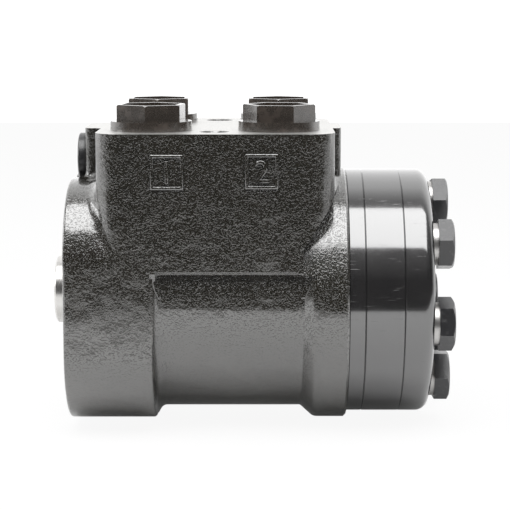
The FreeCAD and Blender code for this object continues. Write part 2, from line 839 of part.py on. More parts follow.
def centring_springs():
    """Pack of leaf springs across the spool and the sleeve."""
    half_pack = leaf_count * leaf_thickness / 2
    length = 2 * (math.sqrt((sleeve_radius - spring_ring_wall) ** 2 - half_pack ** 2) - side_gap)
    leaves = []
    for k in range(leaf_count):
        y = (k - leaf_count / 2) * leaf_thickness + seat_gap / 2
        leaves.append(Part.makeBox(leaf_width, leaf_thickness - seat_gap, length,
                                   V(spring_x - leaf_width / 2, y, -length / 2)))
    return group(leaves)


def cross_pin():
    """Pin through the sleeve and the drive shaft's fork."""
    half = math.sqrt(sleeve_radius ** 2 - pin_radius ** 2) - pin_end_gap
    pin = Part.makeCylinder(pin_radius, 2 * half, V(pin_x, -half, 0), Y_AXIS)
    return pin.makeChamfer(pin_chamfer, [edge for edge in pin.Edges if edge.BoundBox.YLength < 0.01])


def drive_shaft():
    """Cardan shaft: fork on the cross pin in front, splined head in the star behind."""
    head_start = plate_end + head_front_inset
    head_end = ring_end - head_rear_inset
    fork_end = pin_x + fork_back
    neck = fork_radius - shaft_radius
    body = turned([(pin_x - fork_front, 0), (pin_x - fork_front, fork_radius - over),
                   (pin_x - fork_front + over, fork_radius), (fork_end, fork_radius),
                   (fork_end + neck, shaft_radius), (head_start + over, shaft_radius),
                   (head_start + over, 0)])
    head = toothed_bar(head_start, head_end, head_teeth, head_tip_radius, head_root_radius)
    slot_half = pin_radius + fork_radius * math.sin(math.radians(shaft_tilt)) + fork_slot_gap
    slot_front = pin_x - fork_front - over
    slot = Part.makeBox(pin_x - slot_front, 4 * fork_radius, 2 * slot_half,
                        V(slot_front, -2 * fork_radius, -slot_half))
    slot_end = Part.makeCylinder(slot_half, 4 * fork_radius, V(pin_x, -2 * fork_radius, 0), Y_AXIS)
    shaft = fused([body, head]).cut([slot, slot_end])
    shaft.rotate(V(pin_x, 0, 0), Y_AXIS, -shaft_tilt)
    return shaft


def bearing_race(x_from):
    """Flat race of the thrust bearing."""
    return rod(x_from, x_from + race_width, bore_radius - race_radial_gap).cut(
        rod(x_from - over, x_from + race_width + over, neck_bore_radius))


def bearing_cage():
    """Cage of the thrust bearing with its needles."""
    outer = bore_radius - race_radial_gap
    middle = (outer + neck_bore_radius) / 2
    cage = rod(cage_middle - cage_width / 2, cage_middle + cage_width / 2, outer).cut(
        rod(cage_middle - cage_width, cage_middle + cage_width, neck_bore_radius))
    window_length = needle_length + 2 * seat_gap
    window_half = needle_radius + seat_gap
    windows = []
    needles = []
    for k in range(needle_count):
        turn = k * 360.0 / needle_count
        window = Part.makeBox(2 * cage_width, 2 * window_half, window_length,
                              V(cage_middle - cage_width, -window_half, middle - window_length / 2))
        window.rotate(CENTRE, X_AXIS, turn)
        windows.append(window)
        needle = post(middle - needle_length / 2, middle + needle_length / 2, needle_radius, cage_middle)
        needle.rotate(CENTRE, X_AXIS, turn)
        needles.append(needle)
    return group([cage.cut(windows)] + needles)


def dust_seal():
    """Dust seal with a lip on the spool's neck."""
    start = side_gap
    end = dust_seal_width - side_gap
    inner = neck_radius + run_gap
    lip = (end - start) / 2
    outer = dust_seal_radius - seat_gap
    return turned([(start, inner), (start, outer), (end, outer), (end, inner + lip),
                   (start + lip, inner + lip / 2), (start + lip, inner)])


def shaft_seal():
    """Slide ring of the shaft seal."""
    start = dust_seal_width + seal_land + side_gap
    inner = neck_radius + run_gap
    return turned_ring(start, start + shaft_seal_width - 2 * side_gap, inner,
                       inner + shaft_seal_ring_wall, shaft_seal_ring_corner)


def seal_energiser():
    """Rubber ring that presses the slide ring on the spool."""
    start = dust_seal_width + seal_land + side_gap
    inner = neck_radius + run_gap + shaft_seal_ring_wall + seat_gap
    return turned_ring(start, start + shaft_seal_width - 2 * side_gap, inner,
                       shaft_seal_radius - seat_gap, energiser_corner)


def port_plug(index):
    """Plastic port plug: plain shank for the thread, collar and hollow hex cup."""
    x, y = port_places()[index]
    seal_top = port_face + plug_seal_height
    collar_top = seal_top + plug_collar_height
    top = collar_top + plug_hex_height
    turn = plug_turns[index]
    cup = hex_along_z(plug_flats, collar_top - over / 2, top, turn)
    bevel_top = hex_corner(plug_flats) - plug_corner_cut
    bevel_height = plug_hex_height + over
    bevel = Part.makeCone(bevel_top + bevel_height, bevel_top, bevel_height,
                          V(0, 0, top - bevel_height), Z_AXIS)
    collar = post(seal_top, collar_top, plug_collar_radius)
    shank = post(port_face - plug_shank_length, seal_top + over / 2, port_radius - seat_gap)
    recess = hex_along_z(plug_flats - 2 * plug_wall, collar_top - plug_recess_floor, top + over, turn)
    hollow = post(port_face - plug_shank_length + plug_hollow_floor, top, plug_hollow_radius)
    plug = fused([cup.common(bevel), collar, shank]).cut([recess, hollow])
    plug.translate(V(x, y, 0))
    return plug


def port_plug_seals():
    """Flat seal rings between the plug collars and the port face."""
    rings = []
    for x, y in port_places():
        ring = post(port_face, port_face + plug_seal_height, plug_collar_radius + plug_seal_overhang,
                    x, y)
        rings.append(ring.cut(post(port_face - over, port_face + over + plug_seal_height,
                                   port_radius + seat_gap, x, y)))
    return group(rings)


def relief_plug():
    """Socket plug that closes the relief valve's bore."""
    face = rib_start - relief_washer_width
    front = face - relief_head_width
    head = rod(front, face, relief_head_radius, relief_y, relief_z)
    rim = [edge for edge in head.Edges if edge.BoundBox.XMax < front + 0.01]
    head = head.makeChamfer(relief_head_chamfer, rim)
    shank = rod(face - over / 2, rib_start + relief_shank_length, relief_thread_radius - seat_gap,
                relief_y, relief_z)
    socket = hex_along_x(relief_socket_flats, front - over, front + relief_socket_depth)
    socket.translate(V(0, relief_y, relief_z))
    return fused([head, shank]).cut(socket)


def relief_washer():
    """Washer under the relief plug's head."""
    start = rib_start - relief_washer_width
    return rod(start, rib_start, relief_head_radius + relief_washer_rim, relief_y, relief_z).cut(
        rod(start - over, rib_start + over, relief_thread_radius + seat_gap, relief_y, relief_z))


def relief_seat():
    """Hardened seat pressed in at the end of the relief bore."""
    end = rib_start + relief_bore_depth
    start = end - seat_length
    seat = rod(start, end, relief_bore_radius - seat_gap, relief_y, relief_z)
    bore = rod(start - over, end + over, relief_drill_radius, relief_y, relief_z)
    cone = Part.makeCone(seat_cone_radius, relief_drill_radius, poppet_cone_length,
                         V(start, relief_y, relief_z), X_AXIS)
    return seat.cut([bore, cone])


def relief_poppet():
    """Guided poppet whose cone rests in the seat."""
    seat_start = rib_start + relief_bore_depth - seat_length
    cone_start = seat_start - side_gap
    guide = rod(cone_start - poppet_guide_length, cone_start, relief_bore_radius - poppet_gap,
                relief_y, relief_z)
    cone = Part.makeCone(seat_cone_radius - poppet_cone_gap, poppet_tip_radius, poppet_cone_length,
                         V(cone_start, relief_y, relief_z), X_AXIS)
    return fused([guide, cone])


def relief_adjuster():
    """Socket screw that sets the relief spring."""
    start = rib_start + adjuster_depth
    screw = rod(start, start + adjuster_length, relief_bore_radius - seat_gap, relief_y, relief_z)
    socket = hex_along_x(adjuster_socket_flats, start - over, start + adjuster_socket_depth)
    socket.translate(V(0, relief_y, relief_z))
    return screw.cut(socket)


def relief_spring():
    """Coil spring between adjuster and poppet."""
    start = rib_start + adjuster_depth + adjuster_length + spring_wire_radius + seat_gap
    poppet_back = rib_start + relief_bore_depth - seat_length - side_gap - poppet_guide_length
    length = poppet_back - spring_wire_radius - seat_gap - start
    path = Part.makeHelix(length / spring_turns, length, spring_coil_radius)
    wire = Part.Wire(Part.Edge(Part.Circle(V(spring_coil_radius, 0, 0), Y_AXIS, spring_wire_radius)))
    coil = Part.Wire(path).makePipeShell([wire], True, True)
    coil.rotate(CENTRE, Y_AXIS, 90)
    coil.translate(V(start, relief_y, relief_z))
    return coil


def check_seat():
    """Bush in the floor of the pressure port, seat of the check ball."""
    x, y = port_places()[check_port_index]
    floor = port_face - port_depth
    bush = post(floor, floor + check_bush_length, check_bush_radius, x, y)
    return bush.cut(post(floor - over, floor + check_bush_length + over, check_bush_hole_radius, x, y))


def check_ball_height():
    """Z of the check ball's centre when it lies on its stop pin."""
    lift = math.sqrt(check_ball_radius ** 2 - check_bush_hole_radius ** 2)
    return port_face - port_depth - lift - side_gap - check_travel


def check_ball():
    """Ball that closes the pressure port against backflow."""
    x, y = port_places()[check_port_index]
    return Part.makeSphere(check_ball_radius, V(x, y, check_ball_height()))


def check_stop_pin():
    """Pin across the pocket that carries the open check ball."""
    x, y = port_places()[check_port_index]
    z = check_ball_height() - check_ball_radius - check_pin_gap - check_pin_radius
    half = math.sqrt(check_bore_radius ** 2 - check_pin_radius ** 2) - seat_gap
    return Part.makeCylinder(check_pin_radius, 2 * half, V(x - half, y, z), X_AXIS)


def suction_ball():
    """Ball that lets oil in when the unit is steered by hand."""
    y, z = bolt_places()[stop_bolt_index]
    return Part.makeSphere(suction_ball_radius, V(suction_end() + suction_ball_radius + side_gap, y, z))


nodes = {
    "housing": housing(),
    "distributor_plate": distributor_plate(),
    "gerotor_ring": gerotor_ring(),
    "gerotor_star": gerotor_star(),
    "star_spacer": star_spacer(),
    "end_cover": end_cover(),
    "cover_bolts": cover_bolts(),
    "stop_pin_bolt": stop_pin_bolt(),
    "sealing_washers": sealing_washers(),
    "housing_seal": joint_seal(housing_length),
    "plate_seal": joint_seal(plate_end),
    "ring_seal": joint_seal(ring_end),
    "control_spool": control_spool(),
    "control_sleeve": control_sleeve(),
    "spring_ring": spring_ring(),
    "centring_springs": centring_springs(),
    "cross_pin": cross_pin(),
    "drive_shaft": drive_shaft(),
    "front_race": bearing_race(bore_start),
    "rear_race": bearing_race(race_rear_start),
    "bearing_cage": bearing_cage(),
    "dust_seal": dust_seal(),
    "shaft_seal": shaft_seal(),
    "seal_energiser": seal_energiser(),
    "port_plug_seals": port_plug_seals(),
    "relief_plug": relief_plug(),
    "relief_washer": relief_washer(),
    "relief_adjuster": relief_adjuster(),
    "relief_spring": relief_spring(),
    "relief_poppet": relief_poppet(),
    "relief_seat": relief_seat(),
    "check_seat": check_seat(),
    "check_ball": check_ball(),
    "check_stop_pin": check_stop_pin(),
    "suction_ball": suction_ball(),
}
for plug_index in range(len(port_places())):
    nodes["port_plug_%d" % (plug_index + 1)] = port_plug(plug_index)

os.makedirs("parts", exist_ok=True)
for name, shape in nodes.items():
    shape.exportStep("parts/%s.step" % name)
    print("%-18s solids %2d  volume %10.1f  valid %s" % (name, len(shape.Solids), shape.Volume,
                                                          shape.isValid()))
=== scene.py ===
# %% [markdown]
# An orbital steering unit is a rotary valve and a small gerotor set in one cast iron
# housing. The column's splined shaft goes in at the left, oil comes and goes through the
# four ports on top, and seven screws at the right hold the discs of the gerotor set. The
# CAD model already has every piece at its true size, so this scene loads it as a fixed
# frame and spends its effort on light, on the cast and machined surfaces, and on what only
# the eye needs: threads, raised numbers, and a sharp step and two cut corners of the
# casting, which the CAD model hasn't got.

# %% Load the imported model
import json
import math

import bpy
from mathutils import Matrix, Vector


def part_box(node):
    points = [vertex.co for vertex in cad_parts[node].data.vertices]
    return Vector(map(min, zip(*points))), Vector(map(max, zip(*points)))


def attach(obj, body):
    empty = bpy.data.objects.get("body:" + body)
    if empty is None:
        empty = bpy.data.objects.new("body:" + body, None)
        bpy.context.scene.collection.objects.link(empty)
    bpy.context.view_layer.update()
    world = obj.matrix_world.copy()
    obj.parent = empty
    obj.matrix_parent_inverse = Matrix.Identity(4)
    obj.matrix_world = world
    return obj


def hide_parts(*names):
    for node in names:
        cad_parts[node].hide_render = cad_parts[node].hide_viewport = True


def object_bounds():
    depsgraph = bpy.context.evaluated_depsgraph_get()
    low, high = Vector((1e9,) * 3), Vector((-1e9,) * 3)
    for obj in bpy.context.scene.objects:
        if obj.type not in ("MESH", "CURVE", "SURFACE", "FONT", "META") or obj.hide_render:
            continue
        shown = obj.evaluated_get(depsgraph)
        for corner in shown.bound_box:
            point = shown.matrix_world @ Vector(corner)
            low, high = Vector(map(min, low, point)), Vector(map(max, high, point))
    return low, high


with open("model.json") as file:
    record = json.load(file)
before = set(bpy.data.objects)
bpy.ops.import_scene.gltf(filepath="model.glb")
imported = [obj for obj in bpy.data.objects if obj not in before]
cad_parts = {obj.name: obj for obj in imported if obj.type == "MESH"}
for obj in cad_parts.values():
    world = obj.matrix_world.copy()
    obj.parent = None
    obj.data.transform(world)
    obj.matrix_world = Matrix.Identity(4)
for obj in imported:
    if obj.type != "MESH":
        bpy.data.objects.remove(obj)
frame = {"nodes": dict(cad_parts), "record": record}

MM = 0.001
cad_low, cad_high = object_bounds()
print("nodes", len(frame["nodes"]), "height", round((cad_high[2] - cad_low[2]) / MM, 1), "mm")

# %% [markdown]
# The camera stands a little above the main axis and looks along +Y. Its place and its long
# lens were solved from edges that can be measured in the photograph and whose sizes the CAD
# model knows: the discs, the bolt circle and the port spacing. The photograph was cropped
# after it was taken, so the middle of the lens isn't the middle of the picture, and a small
# shift brings it there.

# %% Camera
PICTURE_SIDE = 510
FOCAL_LENGTH_PX = 1668
LENS_MIDDLE_PX = (269, 220)
CAMERA_PLACE = (0.07346, -0.63035, 0.10492)
CAMERA_TILT_DOWN = 7.09
SENSOR_WIDTH = 36

camera_data = bpy.data.cameras.new("photo_camera")
camera_data.sensor_width = SENSOR_WIDTH
camera_data.lens = FOCAL_LENGTH_PX / PICTURE_SIDE * SENSOR_WIDTH
camera_data.shift_x = (PICTURE_SIDE / 2 - LENS_MIDDLE_PX[0]) / PICTURE_SIDE
camera_data.shift_y = (LENS_MIDDLE_PX[1] - PICTURE_SIDE / 2) / PICTURE_SIDE
camera_data.clip_start = 0.01
camera = bpy.data.objects.new("photo_camera", camera_data)
camera.location = CAMERA_PLACE
camera.rotation_euler = (math.radians(90 - CAMERA_TILT_DOWN), 0, 0)
bpy.context.scene.collection.objects.link(camera)
bpy.context.scene.camera = camera
bpy.context.scene.view_settings.view_transform = "Standard"
print("lens", round(camera_data.lens, 1), "mm")

# %% [markdown]
# A material is a small network of nodes. Written out node by node it hides what it does, so
# two short classes keep it readable. A Signal is the output of a node, and takes part in
# ordinary Python arithmetic: grain * 0.3 + 0.2 adds the two Math nodes that it needs, and
# 1 - grain works too. A Board is a node tree with one method that adds any node, sets it up
# and joins its sockets, and short names for the nodes that the finishes here use most.

# %% Signals that can be added and multiplied
class Signal:
    """One output of a shader node, ready for Python arithmetic."""

    def __init__(self, board, socket):
        self.board = board
        self.socket = socket

    def __add__(self, other):
        return self.board.maths("ADD", self, other)

    def __radd__(self, other):
        return self.board.maths("ADD", other, self)

    def __sub__(self, other):
        return self.board.maths("SUBTRACT", self, other)

    def __rsub__(self, other):
        return self.board.maths("SUBTRACT", other, self)

    def __mul__(self, other):
        return self.board.maths("MULTIPLY", self, other)

    def __rmul__(self, other):
        return self.board.maths("MULTIPLY", other, self)


print("Signal knows +, - and *, from both sides")


# %% A board of nodes
class Board:
    """A node tree, with one method that adds any node."""

    def __init__(self, tree):
        self.tree = tree
        tree.nodes.clear()

    def add(self, kind, settings=None, sockets=None, output=0):
        """Adds a node: its settings first, then the values or links of its sockets."""
        node = self.tree.nodes.new(kind)
        for name, value in (settings or {}).items():
            setattr(node, name, value)
        for key, value in (sockets or {}).items():
            if isinstance(value, Signal):
                self.tree.links.new(value.socket, node.inputs[key])
            else:
                node.inputs[key].default_value = value
        return Signal(self, node.outputs[output]) if len(node.outputs) else node

    def maths(self, operation, *values):
        """A Math node on signals or numbers."""
        return self.add("ShaderNodeMath", {"operation": operation}, dict(enumerate(values)))

    def paint(self, factor, first, second):
        """A colour between two colours or colour signals."""
        return self.add("ShaderNodeMix", {"data_type": "RGBA"}, {0: factor, 6: first, 7: second}, 2)

    def place(self):
        """Object coordinates, in metres, the same for every piece."""
        return self.add("ShaderNodeTexCoord", output="Object")

    def part_of(self, vector, axis):
        """One coordinate of a vector."""
        return self.add("ShaderNodeSeparateXYZ", sockets={0: vector}, output=axis)

    def between(self, value, low, high):
        """0 below low, 1 above high, and a straight run between."""
        return self.add("ShaderNodeMapRange", sockets={0: value, 1: low, 2: high}, output=0)

    def stretched(self, vector, scale, turn=(0, 0, 0)):
        """Coordinates that are scaled and turned, for a pattern with a direction."""
        sockets = {"Vector": vector, "Scale": scale, "Rotation": turn}
        return self.add("ShaderNodeMapping", sockets=sockets)

    def noise(self, vector, size, detail=2.0, roughness=0.5):
        """Cloudy noise whose spots are about size metres across."""
        sockets = {"Vector": vector, "Scale": 1 / size, "Detail": detail, "Roughness": roughness}
        return self.add("ShaderNodeTexNoise", sockets=sockets)


print("Board adds the nodes")

# %% [markdown]
# A Finish is a Board with one Principled shader, which is all that paint, metal, plastic and
# rubber need. Its clear coat is the gloss of a paint that lies over a duller ground. What is
# the same all over is set when the finish is made, and what varies is fed in.


# %% A finish is a board with a shader
class Finish(Board):
    """A material around one Principled shader; its even values are set on the shader itself."""

    def __init__(self, name, **even):
        self.material = bpy.data.materials.new(name)
        self.material.use_nodes = True
        super().__init__(self.material.node_tree)
        sockets = {socket.replace("_", " "): value for socket, value in even.items()}
        surface = self.add("ShaderNodeBsdfPrincipled", sockets=sockets)
        self.add("ShaderNodeOutputMaterial", sockets={"Surface": surface})
        self.shader = surface.socket.node

    def feed(self, socket, signal):
        """Joins a signal to one of the shader's sockets."""
        self.tree.links.new(signal.socket, self.shader.inputs[socket])

    def relief(self, height, depth):
        """Small unevenness: height from 0 to 1, depth in metres."""
        sockets = {"Height": height, "Distance": depth, "Strength": 1.0}
        self.feed("Normal", self.add("ShaderNodeBump", sockets=sockets))


print("Finish joins them to a shader")

# %% [markdown]
# The picture has a pure white ground, and the black iron is drawn only by what it mirrors:
# a bright box overhead, the white table below, and the dim room behind the camera. So the
# world is white to the camera, while the light that reaches the object is bright from
# behind and above and dim from the camera's side. The floor is white in the same way and
# keeps a soft shadow.

# %% World
ROOM_LIGHT = 0.05
STUDIO_LIGHT = 1.3
CEILING_SHARE = 0.35

world = bpy.data.worlds.new("studio")
world.use_nodes = True
bpy.context.scene.world = world
studio = Board(world.node_tree)
direction = studio.add("ShaderNodeTexCoord", output="Generated")
backward = studio.between(studio.part_of(direction, "Y"), 0.0, 0.5)
upward = studio.between(studio.part_of(direction, "Z"), 0.3, 1.0)
studio_share = studio.maths("MAXIMUM", backward, upward * CEILING_SHARE)
strength = studio_share * (STUDIO_LIGHT - ROOM_LIGHT) + ROOM_LIGHT
seen = studio.add("ShaderNodeLightPath", output="Is Camera Ray")
strength = studio.maths("MAXIMUM", strength, seen)
sky = studio.add("ShaderNodeBackground", sockets={"Color": (1, 1, 1, 1), "Strength": strength})
studio.add("ShaderNodeOutputWorld", sockets={"Surface": sky})
print("room", ROOM_LIGHT, "studio", STUDIO_LIGHT)

# %% [markdown]
# The discs mirror the table up to just below their middle, so the white table top ends two
# hands in front of the object, and what lies before it is the dim room. The camera doesn't
# see that edge, because to the camera the world is as white as the table. The floor is a
# mixture: a part that glows white by itself, and a matt part that takes the shadow. The
# camera gets little of the matt part, and mirrors get nearly all of it.

# %% Floor
TABLE_SIZE = (2.4, 2.0)
TABLE_MIDDLE = 0.07
TABLE_IN_FRONT = 0.235
TABLE_GREY = 0.8
SHADOW_SHARE = 0.08
MIRRORED_SHADOW_SHARE = 0.95

bpy.ops.object.select_all(action="DESELECT")
table_front = cad_low[1] - TABLE_IN_FRONT
table_place = (TABLE_MIDDLE, table_front + TABLE_SIZE[1] / 2, cad_low[2])
bpy.ops.mesh.primitive_plane_add(size=1, location=table_place)
floor = bpy.context.object
floor.name = "studio_floor"
floor.scale = (*TABLE_SIZE, 1)
floor_finish = bpy.data.materials.new("floor_white")
floor_finish.use_nodes = True
floor.data.materials.append(floor_finish)
sheet = Board(floor_finish.node_tree)
path = {name: sheet.add("ShaderNodeLightPath", output=name)
        for name in ("Is Camera Ray", "Is Glossy Ray", "Is Transmission Ray")}
mirrored = sheet.maths("MAXIMUM", path["Is Glossy Ray"], path["Is Transmission Ray"])
seen = sheet.maths("MAXIMUM", path["Is Camera Ray"] * (1 - SHADOW_SHARE),
                   mirrored * (1 - MIRRORED_SHADOW_SHARE))
white = sheet.add("ShaderNodeEmission", sockets={"Color": (1, 1, 1, 1), "Strength": 1.0})
matt = sheet.add("ShaderNodeBsdfDiffuse", sockets={"Color": (TABLE_GREY, TABLE_GREY, TABLE_GREY, 1)})
mixed = sheet.add("ShaderNodeMixShader", sockets={0: seen, 1: matt, 2: white})
sheet.add("ShaderNodeOutputMaterial", sockets={"Surface": mixed})
print("floor at", round(cad_low[2] / MM, 1), "mm")

# %% [markdown]
# Two soft lamps are enough. A glossy black part shows the shape of its lamps, and a small
# one would be a spot on it, so both are large rectangles. The larger one hangs overhead and
# a little in front, and draws the bright band along the discs and the shoulders of the
# casting. Where it hangs was found by trying, until that band began and ended at the right
# places. The small one at the left lights the column face and the edges that turn to it.


# %% Lamps
def softbox(name, place, aim, width, height, watts):
    """Rectangular lamp that looks at a point."""
    data = bpy.data.lights.new(name, "AREA")
    data.shape = "RECTANGLE"
    data.size = width
    data.size_y = height
    data.energy = watts
    lamp = bpy.data.objects.new(name, data)
    lamp.location = place
    lamp.rotation_euler = (Vector(aim) - Vector(place)).to_track_quat("-Z", "Y").to_euler()
    bpy.context.scene.collection.objects.link(lamp)


middle = [(low + high) / 2 for low, high in zip(cad_low, cad_high)]
overhead = (middle[0], -0.31, 0.77)
at_left = (-0.75, 0.05, 0.3)
softbox("overhead_box", overhead, middle, width=1.2, height=0.64, watts=11.0)
softbox("left_box", at_left, middle, width=0.3, height=0.5, watts=1.6)
print("lamps", [lamp.name for lamp in bpy.data.lights])

# %% [markdown]
# The housing is cast in sand and painted black. Sand leaves a pebbly skin, and the paint
# fills its valleys, so most of it is a dark, nearly flat mirror, and the light catches on
# single grains as small flecks. Noise alone would be uneven everywhere, so the two fine
# sizes keep only the upper part of their noise, as separate bumps on flat ground, and a
# third, large size makes the whole skin sag a little. The faces that were milled
# afterwards, at the ports and at the column, are bright and flat, with the fine lines of
# the cutter, and the material finds them by their place in the object.

# %% Cast paint
PORT_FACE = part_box("housing")[1].z
FACE_SKIN = 0.02 * MM

cast = Finish("cast_paint", IOR=2.0, Coat_Roughness=0.1, Coat_IOR=1.7)
where = cast.place()
grain = cast.between(cast.noise(where, 0.6 * MM, 1.0), 0.5, 0.7)
pebble = cast.between(cast.noise(where, 1.5 * MM, 1.0), 0.5, 0.8)
sag = cast.noise(where, 9 * MM, 1.0)
height = cast.part_of(where, "Z")
along = cast.part_of(where, "X")
milled = cast.maths("GREATER_THAN", height, PORT_FACE - FACE_SKIN)
milled = cast.maths("MAXIMUM", milled, cast.maths("LESS_THAN", along, FACE_SKIN))
mill_lines = cast.noise(cast.stretched(where, (3000, 120, 120)), 1.0, 2.0)
iron = cast.paint(mill_lines, (0.50, 0.50, 0.49, 1), (0.70, 0.69, 0.67, 1))
tint = cast.noise(where, 25 * MM, 2.0)
black = cast.paint(tint, (0.012, 0.011, 0.008, 1), (0.022, 0.019, 0.013, 1))
cast.feed("Base Color", cast.paint(milled, black, iron))
cast.feed("Metallic", milled * 0.9)
skin = cast.noise(where, 4 * MM, 2.0)
cast.feed("Roughness", cast.maths("MAXIMUM", skin * 0.15 + 0.08, milled * 0.38))
cast.feed("Coat Weight", (1 - milled) * (1.0 - grain * 0.35))
pebbles = grain * 0.08 + pebble * 0.08 + sag * 0.7
cast.relief(pebbles * (1 - milled) + mill_lines * milled * 0.02, 1.0 * MM)
print("port face at", round(PORT_FACE / MM, 1), "mm")

# %% [markdown]
# The three discs are turned on a lathe and painted thin and glossy. What shows is a clear
# mirror with faint turning lines round the axis and a few scratches from handling. The
# lines are noise that is stretched round the axis: it reads X almost alone. A scratch is
# noise squeezed hard in one direction, and only its peaks count.

# %% Disc paint
disc = Finish("disc_paint", IOR=2.0, Coat_Roughness=0.08, Coat_Weight=0.9, Coat_IOR=1.7)
where = disc.place()
turning = disc.noise(disc.stretched(where, (6000, 60, 60)), 1.0, 2.0)
scuff = disc.noise(disc.stretched(where, (90, 900, 2600), (0.5, 0.2, 0.3)), 1.0, 3.0, 0.6)
scratch = disc.between(scuff, 0.66, 0.74)
cloud = disc.noise(where, 14 * MM, 3.0, 0.6)
black = disc.paint(cloud, (0.010, 0.010, 0.011, 1), (0.022, 0.021, 0.021, 1))
disc.feed("Base Color", disc.paint(scratch * 0.5, black, (0.12, 0.115, 0.11, 1)))
disc.feed("Roughness", cloud * 0.15 + 0.06 + scratch * 0.2)
disc.relief(turning * 0.5 + cloud * 0.8 + scratch * 0.4, 0.05 * MM)
print("disc paint made")

# %% [markdown]
# The spool's nose, the washers and the inner parts are bare steel. Bare steel has no colour
# of its own, only a roughness that changes with the lines of the grinder. One washer is
# different: the one under the relief plug, at the column's side of the block, is black, and
# the finish knows it by its place.


# %% Bare steel
def steel_finish(name, dark, light, rough, lines, depth, black_before=None):
    """Bare metal with machining lines round the main axis, black before an X if asked."""
    metal = Finish(name, Metallic=1.0)
    spot = metal.place()
    ground = metal.noise(metal.stretched(spot, lines), 1.0, 2.0)
    stain = metal.noise(spot, 6 * MM, 3.0, 0.6)
    colour = metal.paint(stain, (*dark, 1), (*light, 1))
    if black_before:
        at_front = metal.maths("LESS_THAN", metal.part_of(spot, "X"), black_before)
        colour = metal.paint(at_front, colour, (0.02, 0.02, 0.02, 1))
        metal.feed("Metallic", 1 - at_front)
    metal.feed("Base Color", colour)
    metal.feed("Roughness", ground * 0.14 + stain * 0.1 + rough)
    metal.relief(ground + stain * 0.3, depth)
    return metal


WASHER_LINES = (2500, 150, 150)
STEEL_LINES = (4000, 90, 90)
SPRING_LINES = (300, 300, 300)
RELIEF_SIDE = 40 * MM

washer = steel_finish("washer_metal", (0.35, 0.34, 0.33), (0.62, 0.61, 0.6), 0.25, WASHER_LINES,
                      0.02 * MM, RELIEF_SIDE)
steel = steel_finish("steel", (0.5, 0.49, 0.47), (0.7, 0.69, 0.68), 0.18, STEEL_LINES, 0.015 * MM)
spring_steel = steel_finish("spring_steel", (0.25, 0.25, 0.27), (0.42, 0.42, 0.44), 0.25,
                            SPRING_LINES, 0.02 * MM)
print("bare metals made")

# %% [markdown]
# The bolts are black finished steel under thin paint, rubbed to a satin and a little paler
# where they were handled. Two sizes of noise stand for the wear and for fine dust.

# %% Bolts
bolt = Finish("bolt_black", IOR=1.6, Coat_Weight=0.3, Coat_Roughness=0.2, Coat_IOR=1.5)
where = bolt.place()
wear = bolt.noise(where, 2.2 * MM, 3.0, 0.6)
dust = bolt.noise(where, 0.5 * MM, 1.0)
rubbed = bolt.between(wear, 0.55, 0.75)
bolt.feed("Base Color", bolt.paint(rubbed, (0.018, 0.018, 0.02, 1), (0.06, 0.06, 0.062, 1)))
bolt.feed("Roughness", wear * 0.25 + 0.22)
bolt.relief(wear + dust * 0.4, 0.06 * MM)
print("bolt paint made")

# %% [markdown]
# The port plugs are moulded in black plastic with a warm, brownish shine. Moulded plastic is
# smooth but never flat: it sinks a little where the wall is thick, and carries fine dust.
# The seals are rubber, matt and slightly grey, and the slide ring is a filled plastic.


# %% Plastic and rubber
plug = Finish("plug_plastic", IOR=1.7, Coat_Weight=1.0, Coat_Roughness=0.12, Coat_IOR=1.6)
where = plug.place()
sink = plug.noise(where, 7 * MM, 1.0)
dust = plug.noise(where, 0.4 * MM, 2.0)
rubbed = plug.between(plug.noise(where, 3 * MM, 3.0, 0.6), 0.5, 0.8)
plug.feed("Base Color", plug.paint(rubbed, (0.042, 0.034, 0.028, 1), (0.080, 0.062, 0.050, 1)))
plug.feed("Roughness", dust * 0.12 + rubbed * 0.15 + 0.2)
plug.relief(sink * 2 + dust * 0.15, 0.08 * MM)


def soft_finish(name, dark, light, rough):
    """Matt moulded surface with a fine, even grain."""
    soft = Finish(name)
    spot = soft.place()
    bloom = soft.noise(spot, 5 * MM, 3.0, 0.6)
    speck = soft.noise(spot, 0.3 * MM, 1.0)
    soft.feed("Base Color", soft.paint(bloom, (*dark, 1), (*light, 1)))
    soft.feed("Roughness", bloom * 0.15 + rough)
    soft.relief(speck, 0.02 * MM)
    return soft


rubber = soft_finish("rubber", (0.014, 0.014, 0.014), (0.035, 0.034, 0.033), 0.55)
slide_ring = soft_finish("slide_ring", (0.26, 0.24, 0.21), (0.38, 0.36, 0.32), 0.4)
finishes = {"cast_paint": cast, "disc_paint": disc, "bolt_black": bolt, "washer_metal": washer,
            "steel": steel, "spring_steel": spring_steel, "rubber": rubber, "slide_ring": slide_ring,
            "plug_plastic": plug}
print("finishes", sorted(finishes))

# %% [markdown]
# The record says which slot each CAD node takes its finish from, so one loop dresses them
# all.

# %% Dress the CAD nodes
slot_of = {entry["node"]: entry["material_slot"] for entry in frame["record"]["subparts"]}
for name, piece in frame["nodes"].items():
    piece.data.materials.clear()
    piece.data.materials.append(finishes[slot_of[name]].material)
print("dressed", len(slot_of), "nodes")

# %% [markdown]
# A step, two corners and the threads of six holes are cut here, from a copy of the housing.
# The tools for that are shaped first, as a toolmaker would. Four small helpers are used all
# the way. One finds a part's near wall with a ray, one selects a single object, one gives a
# copy with its own mesh, because what repeats is modelled once, and one deletes.


# %% Helpers for shaping
def near_wall(part, along, height):
    """The place of a part's near wall, found by a ray that comes from the front."""
    start = Vector((along, cad_low[1] - 10 * MM, height))
    hit, spot, _, _ = part.ray_cast(start, Vector((0, 1, 0)))
    assert hit
    return spot


def only(part):
    """Deselects everything, then selects one object and makes it the active one."""
    bpy.ops.object.select_all(action="DESELECT")
    part.select_set(True)
    bpy.context.view_layer.objects.active = part


